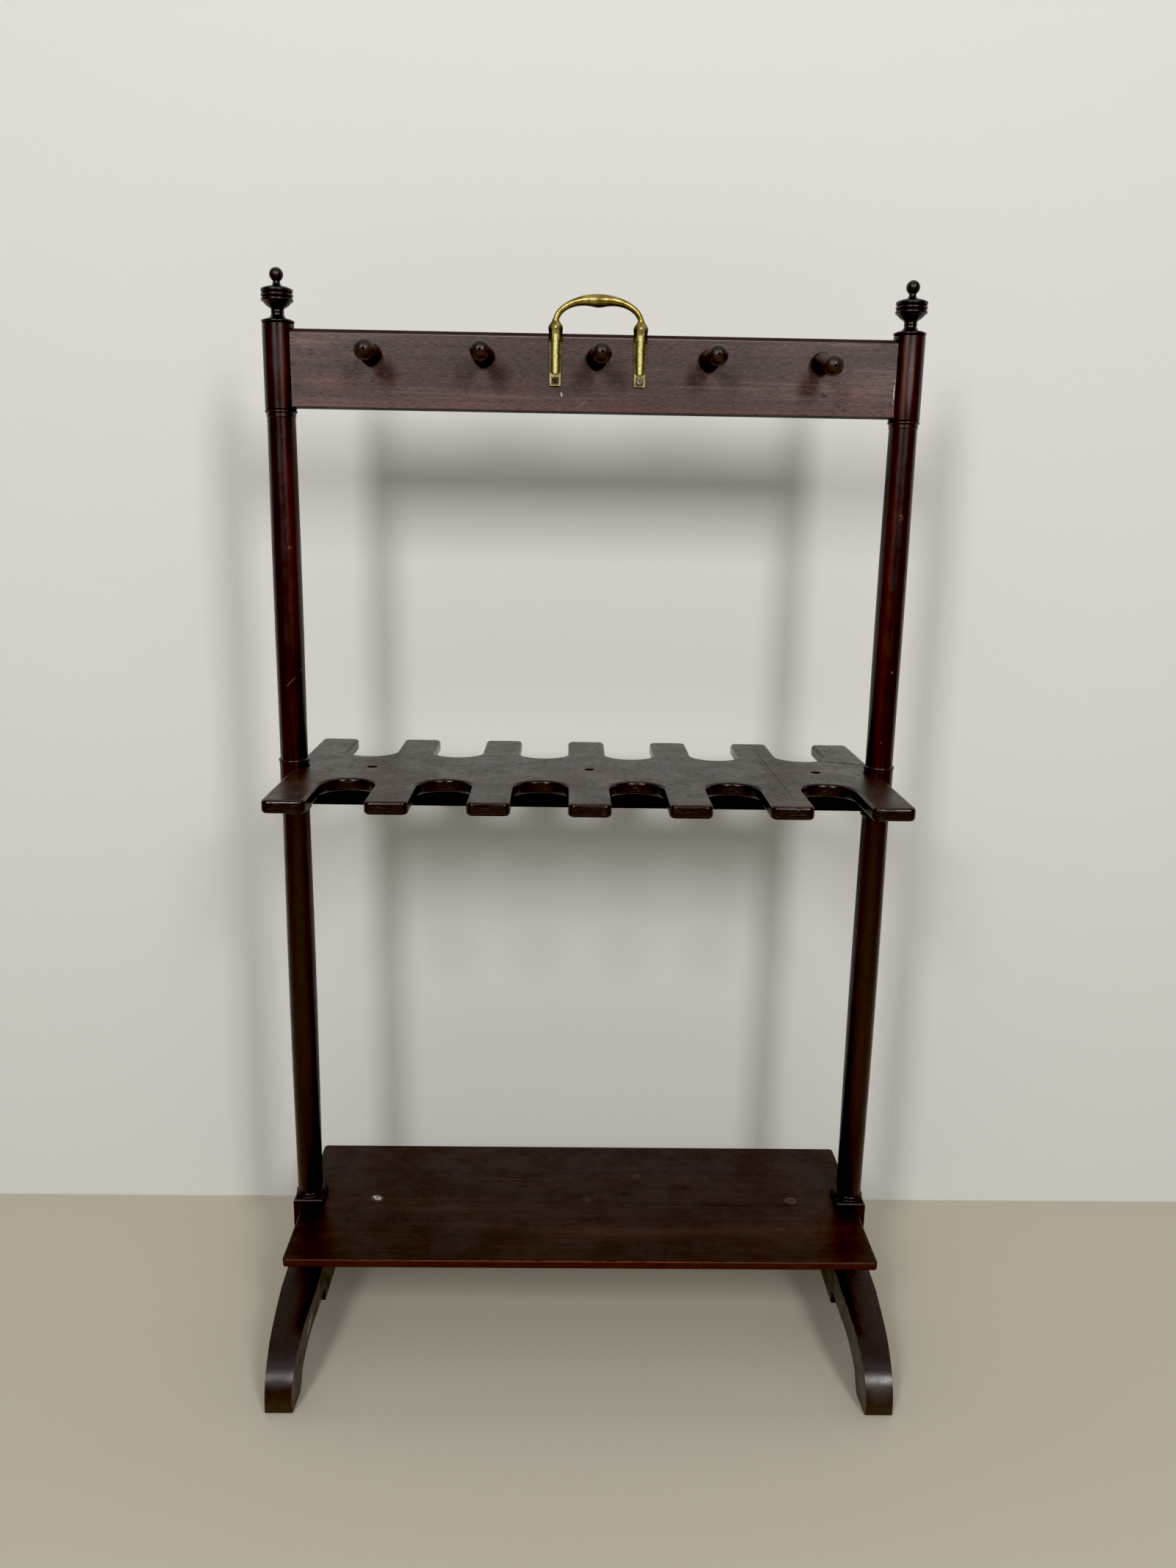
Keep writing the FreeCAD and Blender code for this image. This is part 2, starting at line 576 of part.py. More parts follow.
def sink_screws(body, size, screws, top, thickness):
    """Three counterbored screw holes along the board's middle line."""
    for name, across in zip(("left", "middle", "right"), screws):
        label = "%s_%s" % (body.Label, name)
        bore = new_sketch(body, "XY_Plane", label + "_counterbore", top - size.counterbore_depth)
        draw_circle(bore, across, 0, size.counterbore_radius)
        pocket(body, bore, label + "_counterbore_cut", size.counterbore_depth + 1, forward=True)
        hole = new_sketch(body, "XY_Plane", label + "_hole", top - thickness)
        draw_circle(hole, across, 0, size.screw_shank_radius + size.joint_play)
        pocket(body, hole, label + "_hole_cut", thickness, forward=True)


def comb_screw_places(size):
    return -size.comb_screw_left, size.comb_screw_middle, size.comb_screw_right


def shelf_screw_places(size):
    return -size.shelf_screw_left, size.shelf_screw_middle, size.shelf_screw_right


def bearer(doc, size, label, bottom, top, shoulder, reach, tenon_width, screws):
    """A rail under a board: plain bar with a tenon each end and three screw pilots."""
    body = new_body(doc, label)
    face = new_sketch(body, "XZ_Plane", label + "_face")
    draw_outline(face, box_outline(-shoulder, bottom, shoulder, top))
    pad(body, face, label + "_bar", size.bearer_thickness, both_ways=True)
    middle = (bottom + top) / 2
    tenon = new_sketch(body, "XZ_Plane", label + "_tenons")
    draw_outline(tenon, box_outline(-reach, middle - tenon_width / 2, reach, middle + tenon_width / 2))
    pad(body, tenon, label + "_tongue", size.bearer_tenon_thickness, both_ways=True)
    pilots = new_sketch(body, "XY_Plane", label + "_pilots", top - size.screw_length)
    for across in screws:
        draw_circle(pilots, across, 0, size.screw_shank_radius + size.joint_play)
    pocket(body, pilots, label + "_pilot_cut", size.screw_length + 1, forward=True)
    return body


def base_shelf(doc, size):
    """Thin board notched at its ends round the posts' square blocks."""
    body = new_body(doc, "base_shelf")
    half_length, half_depth = size.shelf_length / 2, size.shelf_depth / 2
    underside = size.shelf_top - size.shelf_thickness
    board = new_sketch(body, "XY_Plane", "shelf_board", underside)
    notch = size.block_side / 2 + 0.3
    inner = size.post_spacing / 2 - notch
    draw_outline(board, [
        (half_length, -half_depth), (half_length, -notch), (inner, -notch), (inner, notch),
        (half_length, notch), (half_length, half_depth), (-half_length, half_depth),
        (-half_length, notch), (-inner, notch), (-inner, -notch), (-half_length, -notch),
        (-half_length, -half_depth)])
    pad(body, board, "shelf_board_pad", size.shelf_thickness)
    corner = plain(half_depth) - 0.01
    round_edges(body, "shelf_corners", size.shelf_corner,
                lambda edge: is_upright(edge) and abs(edge.BoundBox.YMin) > corner)
    top, bottom = plain(size.shelf_top), plain(underside)
    inside = plain(size.block_side)
    round_edges(body, "shelf_edges", size.shelf_round,
                lambda edge: (lies_at(edge, top) or lies_at(edge, bottom)) and not (
                    abs(edge.BoundBox.YMin) < inside and abs(edge.BoundBox.YMax) < inside))
    sink_screws(body, size, shelf_screw_places(size), size.shelf_top, size.shelf_thickness)
    return body


# ---------------------------------------------------------------- screws and pellets

def wood_screw(doc, size, name, head, shank, length, head_height):
    """A slotted countersunk screw, point down, head flush with its own origin."""
    cone = doc.addObject("Part::Cone", name + "_head")
    bind(cone, "Radius1", shank)
    bind(cone, "Radius2", head)
    bind(cone, "Height", head_height)
    place(cone, 0, 0, -head_height)
    stem = doc.addObject("Part::Cylinder", name + "_shank")
    bind(stem, "Radius", shank)
    bind(stem, "Height", length - head_height)
    place(stem, 0, 0, -length)
    whole = doc.addObject("Part::Fuse", name + "_blank")
    whole.Base, whole.Tool = cone, stem
    slot = doc.addObject("Part::Box", name + "_slot")
    bind(slot, "Length", head * 3)
    bind(slot, "Width", size.screw_slot)
    bind(slot, "Height", size.screw_slot * 2)
    place(slot, -head * 1.5, -size.screw_slot / 2, -size.screw_slot)
    screw = doc.addObject("Part::Cut", name)
    screw.Base, screw.Tool = whole, slot
    return screw


def group(doc, label, pieces):
    node = doc.addObject("Part::Compound", label)
    node.Label = label
    node.Links = pieces
    return node


def board_screws(doc, size, label, places, top):
    """The three screws that hold a board down on its bearer, heads in the counterbores."""
    screws = []
    for number, (across, turn) in enumerate(zip(places, (12, -35, 64))):
        screw = wood_screw(doc, size, "%s_%d" % (label, number + 1), size.screw_head_radius,
                           size.screw_shank_radius, size.screw_length, size.screw_head_height)
        place(screw, across, 0,
              top - size.counterbore_depth + size.screw_head_height + 0.05, (0, 0, 1), turn)
        screws.append(screw)
    return group(doc, label, screws)


def shelf_pellets(doc, size):
    """Wooden pellets that close the shelf's counterbores over the screw heads."""
    pellets = []
    for number, across in enumerate(shelf_screw_places(size)):
        pellet = doc.addObject("Part::Cylinder", "shelf_pellet_%d" % (number + 1))
        bind(pellet, "Radius", size.counterbore_radius - size.joint_play)
        bind(pellet, "Height", size.pellet_thickness)
        place(pellet, across, 0, size.shelf_top - size.pellet_thickness)
        pellets.append(pellet)
    return group(doc, "shelf_pellets", pellets)


def handle_screws(doc, size):
    """One screw through the foot of each strap of the handle."""
    screws = []
    for side, turn in ((-1, 20), (1, -48)):
        screw = wood_screw(doc, size, "handle_screw_%s" % ("left" if side < 0 else "right"),
                           size.handle_screw_radius, size.handle_screw_shank,
                           size.handle_screw_length, size.strap_thickness * 0.75)
        spin = FreeCAD.Rotation(FreeCAD.Vector(1, 0, 0), 90).multiply(
            FreeCAD.Rotation(FreeCAD.Vector(0, 0, 1), turn))
        face = plain(size.rail_thickness) / 2 + plain(size.strap_thickness)
        screw.Placement = FreeCAD.Placement(FreeCAD.Vector(
            plain(strap_middle(size, side)), -face, plain(size.handle_screw_height)), spin)
        screws.append(screw)
    return group(doc, "handle_screws", screws)


# ---------------------------------------------------------------- brass handle

def strap_middle(size, side):
    return size.handle_shift + size.handle_spacing * (side / 2.0)


def handle_strap(doc, size, side, word):
    """Strap down the rail's face, widening upwards, with a round rib along it and a recessed tab."""
    face = size.rail_thickness / 2
    middle = strap_middle(size, side)
    strap = doc.addObject("Part::Wedge", word + "_strap")
    spread = (size.strap_top_width - size.strap_width) / 2
    for prop, length in (("Xmin", 0), ("Ymin", 0), ("Zmin", 0), ("Z2min", 0),
                         ("Xmax", size.strap_width), ("Ymax", size.strap_top - size.strap_bottom),
                         ("Zmax", size.strap_thickness), ("Z2max", size.strap_thickness),
                         ("X2min", -spread), ("X2max", size.strap_width + spread)):
        bind(strap, prop, length)
    place(strap, middle - size.strap_width / 2, -face, size.strap_bottom, (1, 0, 0), 90)
    rib_plane = -face - size.strap_thickness + size.moulding_sunk
    rib = doc.addObject("Part::Cylinder", word + "_rib")
    bind(rib, "Radius", size.moulding_radius)
    bind(rib, "Height", size.moulding_top - size.moulding_bottom)
    place(rib, middle, rib_plane, size.moulding_bottom)
    point = doc.addObject("Part::Cone", word + "_rib_point")
    bind(point, "Radius1", size.moulding_radius)
    bind(point, "Radius2", size.moulding_radius / 4)
    bind(point, "Height", size.moulding_radius * 1.2)
    place(point, middle, rib_plane, size.moulding_top)
    tab = doc.addObject("Part::Box", word + "_tab_recess")
    bind(tab, "Length", size.tab_recess)
    bind(tab, "Width", size.strap_thickness)
    bind(tab, "Height", size.tab_recess)
    place(tab, middle - size.tab_recess / 2, -face - size.strap_thickness * 1.7,
          size.handle_screw_height - size.tab_recess / 2)
    hole = doc.addObject("Part::Cone", word + "_strap_hole")
    bind(hole, "Radius1", size.handle_screw_shank)
    bind(hole, "Radius2", size.handle_screw_radius)
    bind(hole, "Height", size.strap_thickness * 0.75)
    place(hole, middle, -face - size.strap_thickness * 0.25, size.handle_screw_height, (1, 0, 0), 90)
    bore = doc.addObject("Part::Cylinder", word + "_strap_bore")
    bind(bore, "Radius", size.handle_screw_shank)
    bind(bore, "Height", size.strap_thickness)
    place(bore, middle, -face + 0.2, size.handle_screw_height, (1, 0, 0), 90)
    return [strap, rib, point], [tab, hole, bore]


def handle_socket(doc, size, side, word):
    """Flared socket where the bar grows out of the strap, widest just above the rail."""
    socket = doc.addObject("Part::Feature", word + "_socket")
    width, depth, height = [plain(v) / 2 for v in (size.socket_width, size.socket_depth, size.socket_height)]
    rings = []
    for rise, across, deep, back in (
            (0.0, 0.86, 0.26, 3.4), (0.65, 0.92, 0.56, 3.0), (0.95, 0.96, 0.76, 2.4),
            (1.28, 1.0, 0.9, 1.2), (1.5, 0.84, 0.84, 0.5), (1.7, 0.6, 0.8, 0.1), (1.95, 0.48, 0.76, 0.0)):
        ring = Part.Ellipse(FreeCAD.Vector(0, back, height * rise), width * across, depth * deep)
        rings.append(Part.Wire(ring.toShape()))
    socket.Shape = Part.makeLoft(rings, True, False)
    place(socket, strap_middle(size, side), -size.bar_plane, size.socket_bottom)
    return socket


def handle_bar(doc, size):
    """The arched bar: a flat-topped arch, slender at its roots and swelling at mid-grip."""
    bar = doc.addObject("Part::Feature", "handle_bar")
    half, reach, rise = plain(size.handle_spacing) / 2, plain(size.bar_reach), plain(size.bar_rise)
    spring, root = plain(size.bar_height) - rise, plain(size.bar_root_radius)
    swelling = plain(size.bar_middle_radius) - root
    stations = [(-half, plain(size.socket_bottom) + plain(size.socket_height) * 0.6, 90, root)]
    for turn, share in ((0, 0.0), (18, 0.0), (36, 0.03), (52, 0.12), (66, 0.28), (78, 0.5), (90, 0.74)):
        angle = math.radians(turn)
        lean = math.degrees(math.atan2(rise * math.cos(angle), reach * math.sin(angle)))
        stations.append((reach - half - reach * math.cos(angle), spring + rise * math.sin(angle),
                         lean, root + swelling * share))
    stations.append((0, plain(size.bar_height) - 0.3, 0, plain(size.bar_middle_radius)))
    stations += [(-across, up, -lean, radius) for across, up, lean, radius in reversed(stations[:-1])]
    rings = []
    for across, up, lean, radius in stations:
        heading = FreeCAD.Vector(math.cos(math.radians(lean)), 0, math.sin(math.radians(lean)))
        centre = FreeCAD.Vector(across, 0, up)
        rings.append(Part.Wire(Part.makeCircle(radius, centre, heading)))
    bar.Shape = Part.makeLoft(rings, True, False)
    place(bar, size.handle_shift, -size.bar_plane)
    return bar


def carrying_handle(doc, size):
    """The brass handle is one casting: arched bar, two sockets and two ribbed straps."""
    solids, holes = [handle_bar(doc, size)], []
    for side, word in ((-1, "left"), (1, "right")):
        straps, cuts = handle_strap(doc, size, side, word)
        solids += straps + [handle_socket(doc, size, side, word)]
        holes += cuts
    joined = doc.addObject("Part::MultiFuse", "handle_joined")
    joined.Shapes = solids
    behind = doc.addObject("Part::Box", "handle_rail_space")
    bind(behind, "Length", size.handle_spacing * 2)
    bind(behind, "Width", size.rail_thickness)
    bind(behind, "Height", size.rail_top - size.rail_bottom + 0.1)
    place(behind, size.handle_shift - size.handle_spacing, -size.rail_thickness / 2, size.rail_bottom)
    removed = doc.addObject("Part::MultiFuse", "handle_removed")
    removed.Shapes = holes + [behind]
    handle = doc.addObject("Part::Cut", "carrying_handle")
    handle.Base, handle.Tool = joined, removed
    handle.Label = "carrying_handle"
    return handle


# ---------------------------------------------------------------- the whole rack

def build(doc, size):
    nodes = []
    for side, word in ((-1, "left"), (1, "right")):
        nodes.append(post(doc, size, word + "_post", side))
        nodes.append(finial(doc, size, word + "_finial", side))
        nodes.append(trestle_foot(doc, size, word + "_foot", side))
    nodes.append(top_rail(doc, size))
    nodes += [whip_peg(doc, size, number) for number in range(1, 6)]
    nodes.append(carrying_handle(doc, size))
    nodes.append(handle_screws(doc, size))
    nodes.append(boot_comb(doc, size))
    comb_underside = size.comb_top - size.comb_thickness
    nodes.append(bearer(doc, size, "comb_bearer", size.comb_bearer_bottom, comb_underside,
                        size.post_spacing / 2 - size.bearer_housing_offset,
                        size.post_spacing / 2 + size.tenon_reach, size.bearer_tenon_width,
                        comb_screw_places(size)))
    nodes.append(board_screws(doc, size, "comb_screws", comb_screw_places(size), size.comb_top))
    nodes.append(base_shelf(doc, size))
    shelf_shoulder = size.post_spacing / 2 - size.block_side / 2
    nodes.append(bearer(doc, size, "shelf_bearer", size.shelf_bearer_bottom,
                        size.shelf_top - size.shelf_thickness, shelf_shoulder,
                        shelf_shoulder + size.shelf_tenon_length, size.shelf_tenon_width,
                        shelf_screw_places(size)))
    nodes.append(board_screws(doc, size, "shelf_screws", shelf_screw_places(size), size.shelf_top))
    nodes.append(shelf_pellets(doc, size))
    return nodes


def check(doc, nodes):
    """Stop unless every object came out sound."""
    for item in doc.Objects:
        if "Invalid" in item.State or "Error" in item.State:
            raise RuntimeError("%s failed: %s" % (item.Name, item.State))
    for node in nodes:
        if node.Shape.isNull() or not node.Shape.isValid():
            raise RuntimeError("%s has no sound shape" % node.Label)


def main():
    doc = FreeCAD.newDocument("boot_and_whip_rack")
    size = Sizes(doc, SIZES)
    doc.recompute()
    nodes = build(doc, size)
    doc.recompute()
    check(doc, nodes)
    os.makedirs("parts", exist_ok=True)
    for node in nodes:
        node.Shape.exportStep("parts/%s.step" % node.Label)
        print("%-18s %9.0f mm3  %d solids" % (node.Label, node.Shape.Volume, len(node.Shape.Solids)))


main()
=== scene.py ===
import math

import bpy
from mathutils import Matrix, Vector

# The rack's own looks: turned, sawn and planed mahogany under old polish, aged brass and dark
# screws.  Every node keeps its CAD mesh.  Marks are placed in the rack's frame, in millimetres.

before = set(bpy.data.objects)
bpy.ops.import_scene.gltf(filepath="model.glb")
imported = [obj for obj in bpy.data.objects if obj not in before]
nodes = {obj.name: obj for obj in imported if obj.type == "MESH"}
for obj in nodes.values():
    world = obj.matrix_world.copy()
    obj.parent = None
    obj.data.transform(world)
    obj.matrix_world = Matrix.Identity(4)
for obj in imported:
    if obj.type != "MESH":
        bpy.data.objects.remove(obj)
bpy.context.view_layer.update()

MM = 0.001

# where the rack's main faces and fittings lie, in mm
POST_X = 280
RAIL_FRONT = -8
COMB_TOP = 580.7
SHELF_TOP = 121.4
BLOCK_TOP = 127.8
STRAP_X = (-35.0, 39.8)
COMB_SCREW_X = (-206, 1.5, 219)


def colour(red, green, blue):
    """A shader colour from the values an image editor shows."""
    def linear(v):
        v = v / 255
        return v / 12.92 if v <= 0.04045 else ((v + 0.055) / 1.055) ** 2.4
    return (linear(red), linear(green), linear(blue), 1.0)


# ---------------------------------------------------------------- node shorthand

class Finish:
    """One material, with shorthand for the nodes that every finish here uses."""

    def __init__(self, name):
        self.material = bpy.data.materials.new(name)
        self.material.use_nodes = True
        self.tree = self.material.node_tree
        self.shader = self.tree.nodes["Principled BSDF"]
        self.place = self.add("ShaderNodeTexCoord").outputs["Object"]
        self.normal = self.add("ShaderNodeNewGeometry").outputs["Normal"]

    def add(self, kind, **settings):
        node = self.tree.nodes.new(kind)
        for key, value in settings.items():
            setattr(node, key, value)
        return node

    def feed(self, socket, value):
        if isinstance(value, bpy.types.NodeSocket):
            self.tree.links.new(value, socket)
        else:
            socket.default_value = value

    def math(self, operation, a, b=0.0, clamp=False):
        node = self.add("ShaderNodeMath", operation=operation, use_clamp=clamp)
        self.feed(node.inputs[0], a)
        self.feed(node.inputs[1], b)
        return node.outputs[0]

    def times(self, a, b):
        return self.math("MULTIPLY", a, b)

    def plus(self, a, b):
        return self.math("ADD", a, b)

    def ramp(self, value, low, high, bottom=0.0, top=1.0):
        """Smooth step of value from bottom at low to top at high."""
        node = self.add("ShaderNodeMapRange", interpolation_type="SMOOTHSTEP")
        for socket, number in zip(node.inputs, (value, low, high, bottom, top)):
            self.feed(socket, number)
        return node.outputs[0]

    def mix(self, share, a, b, blend="MIX"):
        node = self.add("ShaderNodeMix", data_type="RGBA", blend_type=blend)
        self.feed(node.inputs["Factor"], share)
        self.feed(node.inputs[6], a)
        self.feed(node.inputs[7], b)
        return node.outputs[2]

    def noise(self, scale, shift=0.0, detail=3.0, roughness=0.5, distortion=0.0):
        """Noise in the rack's frame; scale is per metre along X, Y and Z."""
        place = self.add("ShaderNodeMapping")
        self.feed(place.inputs["Vector"], self.place)
        place.inputs["Location"].default_value = (shift, shift * 1.7, shift * 2.3)
        place.inputs["Scale"].default_value = scale
        node = self.add("ShaderNodeTexNoise")
        self.feed(node.inputs["Vector"], place.outputs[0])
        node.inputs["Scale"].default_value = 1.0
        node.inputs["Detail"].default_value = detail
        node.inputs["Roughness"].default_value = roughness
        node.inputs["Distortion"].default_value = distortion
        return node.outputs["Fac"]

    def axis(self, name):
        """One coordinate of the surface point, in metres."""
        node = self.add("ShaderNodeSeparateXYZ")
        self.feed(node.inputs[0], self.place)
        return node.outputs[name]

    def spot(self, centre, reach, turn=(0, 0, 0), soft=0.5, ragged=0.0):
        """1 inside an ellipsoid with the given half sizes in mm, 0 outside it."""
        place = self.add("ShaderNodeMapping", vector_type="TEXTURE")
        self.feed(place.inputs["Vector"], self.place)
        place.inputs["Location"].default_value = [v * MM for v in centre]
        place.inputs["Rotation"].default_value = [math.radians(v) for v in turn]
        place.inputs["Scale"].default_value = [v * MM for v in reach]
        far = self.add("ShaderNodeVectorMath", operation="LENGTH")
        self.feed(far.inputs[0], place.outputs[0])
        away = far.outputs["Value"]
        if ragged:
            frayed = self.plus(self.noise((900, 900, 900), 3.1), -0.5)
            away = self.plus(away, self.times(frayed, ragged))
        return self.ramp(away, 1 - soft, 1.0, 1.0, 0.0)

    def scratch(self, start, end, width, depth=4.0, level=False):
        """A straight mark from start to end, in mm, on an upright face or a level board."""
        a, b = Vector(start), Vector(end)
        along = (b - a).normalized()
        turn = along.to_track_quat("X", "Z").to_euler()
        half = (b - a).length / 2
        reach = (half, width / 2, depth) if level else (half, depth, width / 2)
        return self.spot((a + b) / 2, reach, [math.degrees(v) for v in turn], 0.6, 0.35)

    def edges(self, reach, inside=True):
        """How near a surface point is to an outer edge, or with inside False to a recess."""
        node = self.add("ShaderNodeAmbientOcclusion", samples=6, inside=inside, only_local=True)
        node.inputs["Distance"].default_value = reach * MM
        return self.math("SUBTRACT", 1.0, node.outputs["AO"])

    def bump(self, height, strength, distance, soften=0.6):
        """Relief from height, on corners rounded by soften mm."""
        node = self.add("ShaderNodeBump")
        node.inputs["Strength"].default_value = strength
        node.inputs["Distance"].default_value = distance * MM
        self.feed(node.inputs["Height"], height)
        if soften:
            corner = self.add("ShaderNodeBevel", samples=4)
            corner.inputs["Radius"].default_value = soften * MM
            self.feed(node.inputs["Normal"], corner.outputs[0])
        self.feed(self.shader.inputs["Normal"], node.outputs[0])

    def set(self, **values):
        for name, value in values.items():
            self.feed(self.shader.inputs[name.replace("_", " ")], value)


def along(axis, run, across):
    """Scales for grain that runs along one axis: stretched along it, fine across it."""
    return [run if name == axis else across for name in "XYZ"]


# ---------------------------------------------------------------- wood

PORE = colour(16, 8, 6)
# painted shade for recesses and hollows
RECESS_SHADE_TONE = colour(9, 5, 4)
# painted shade for outer edges
DARK_EDGE = colour(22, 9, 8)
SCRAPE = colour(168, 150, 138)
PALE = colour(214, 205, 192)
PIT = colour(10, 5, 4)
# painted sheen on the posts
ORANGE_SHEEN = colour(120, 46, 18)


def wood(name, axis, dark, middle, light, seed, rough=(0.25, 0.4), coat=0.3, coat_rough=0.12,
         specular=0.5, pores=0.5, pore_rough=0.12, fine=0.25, dash=(34, 620), wear=None,
         wear_share=0.5, wear_reach=2.0, recess_shade=0.6, edge_dark=0.0, relief=0.15, soften=0.6,
         tints=(), marks=()):
    """Old polished mahogany whose grain runs along axis.

    rough is the range of roughness, dash the finest grain's scale along and across it, fine and
    pores how much the fine grain and the pores show, and wear the colour of rubbed edges.
    tints are (mask maker, colour, share) laid over the figure, and marks are (mask maker, colour,
    share, roughness change, height change) laid over everything."""
    f = Finish(name)
    broad = f.noise(along(axis, 3.5, 46), seed, 4, 0.55, 0.6)
    streak = f.noise(along(axis, 9, 330), seed + 1, 3, 0.6, 0.2)
    cloud = f.noise((14, 14, 14), seed + 2, 3, 0.5)
    hair = f.noise(along(axis, *dash), seed + 3, 4, 0.7)
    pore = f.ramp(f.noise(along(axis, 130, 1500), seed + 4, 1, 0.4), 0.6, 0.7)

    figure = f.plus(f.times(broad, 0.55), f.times(streak, 0.45))
    tone = f.mix(f.ramp(figure, 0.34, 0.52), dark, middle)
    tone = f.mix(f.ramp(figure, 0.5, 0.68), tone, light)
    tone = f.mix(f.ramp(cloud, 0.35, 0.7, 0.0, 0.45), tone, dark)
    for mask, tint, share in tints:
        tone = f.mix(f.times(mask(f), share), tone, tint)
    tone = f.mix(f.times(f.ramp(hair, 0.5, 0.64), fine), tone, dark)
    tone = f.mix(f.times(f.ramp(hair, 0.36, 0.5, 1.0, 0.0), fine * 0.6), tone, light)
    tone = f.mix(f.times(pore, pores), tone, PORE)
    edge = f.edges(wear_reach)
    scuffs = f.noise((160, 160, 160), seed + 5, 4, 0.65)
    # painted shade along the outer edges
    if edge_dark:
        tone = f.mix(f.times(f.ramp(edge, 0.1, 0.5), edge_dark), tone, DARK_EDGE)
    if wear:
        rubbed = f.times(f.ramp(edge, 0.25, 0.6), f.ramp(scuffs, 0.45, 0.62, 0.0, wear_share))
        tone = f.mix(rubbed, tone, wear)
    # painted shade: the surface darkens towards its recesses and hollows
    recess = f.ramp(f.edges(5.0, False), 0.25, 0.8, 0.0, recess_shade)
    tone = f.mix(recess, tone, RECESS_SHADE_TONE)

    smear = f.noise((38, 38, 38), seed + 6, 4, 0.6)
    roughness = f.ramp(smear, 0.3, 0.7, rough[0], rough[1])
    roughness = f.plus(roughness, f.times(pore, pore_rough))
    roughness = f.plus(roughness, f.times(recess, 0.25))
    height = f.plus(f.times(hair, 0.35), f.times(pore, -0.5))
    height = f.plus(height, f.times(cloud, 0.8))
    for mask, tint, share, rougher, raised in marks:
        shape = mask(f)
        tone = f.mix(f.times(shape, share), tone, tint)
        if rougher:
            roughness = f.plus(roughness, f.times(shape, rougher))
        if raised:
            height = f.plus(height, f.times(shape, raised))
    f.set(Base_Color=tone, Roughness=f.math("MINIMUM", roughness, 0.95), Coat_Weight=coat,
          Coat_Roughness=coat_rough)
    f.shader.inputs["Specular IOR Level"].default_value = specular
    f.bump(height, relief, 0.25, soften)
    return f.material


def dot(x, y, z, size, turn=0.0, thin=1.0, soft=0.5, ragged=0.5):
    """A small mark at a point: a round spot of radius size, drawn out by thin across Z."""
    return lambda f: f.spot((x, y, z), (size, size, size * thin), (0, turn, 0), soft, ragged)


def patch(x, y, z, reach, turn=(0, 0, 0), soft=0.9):
    """A wide soft-edged area round a point."""
    return lambda f: f.spot((x, y, z), reach, turn, soft, 0.3)


def line(start, end, width, depth=4.0, level=False):
    """A straight scratch or crack, tapering to its ends."""
    return lambda f: f.scratch(start, end, width, depth, level)


def flecks(start, end, width, fine=420, share=0.52, depth=4.0, level=False):
    """Loose specks of old paint or filler strewn along a line."""
    def mask(f):
        strewn = f.ramp(f.noise((fine, fine, fine), 7.7, 3, 0.6), share, share + 0.06)
        return f.times(f.scratch(start, end, width, depth, level), strewn)
    return mask


def ring(x, y, radius, width):
    """A thin ring on a level board, round x, y."""
    def mask(f):
        away = f.add("ShaderNodeVectorMath", operation="DISTANCE")
        flat = f.add("ShaderNodeVectorMath", operation="MULTIPLY")
        f.feed(flat.inputs[0], f.place)
        flat.inputs[1].default_value = (1, 1, 0)
        f.feed(away.inputs[0], flat.outputs[0])
        away.inputs[1].default_value = (x * MM, y * MM, 0)
        off = f.math("ABSOLUTE", f.plus(away.outputs["Value"], -radius * MM))
        return f.ramp(off, width * 0.3 * MM, width * MM, 1.0, 0.0)
    return mask


def band(axis, low, high, soft=0.4):
    """1 between two places (mm) along an axis, fading over soft mm either side of each."""
    def mask(f):
        at = f.axis(axis)
        rise = f.ramp(at, (low - soft) * MM, (low + soft) * MM)
        return f.times(rise, f.ramp(at, (high - soft) * MM, (high + soft) * MM, 1.0, 0.0))
    return mask


def painted_sheen_band(x, aside, low, high):
    """A broken lengthwise band of painted sheen, aside mm from the middle of a turned post
    standing at x.
    """
    def mask(f):
        away = f.math("ABSOLUTE", f.plus(f.axis("X"), -(x + aside) * MM))
        across = f.ramp(away, 0.0, 5 * MM, 1.0, 0.0)
        broken = f.ramp(f.noise((30, 30, 7), 5.0 + aside, 2), 0.35, 0.62)
        return f.times(f.times(across, broken), band("Z", low, high, 40)(f))
    return mask


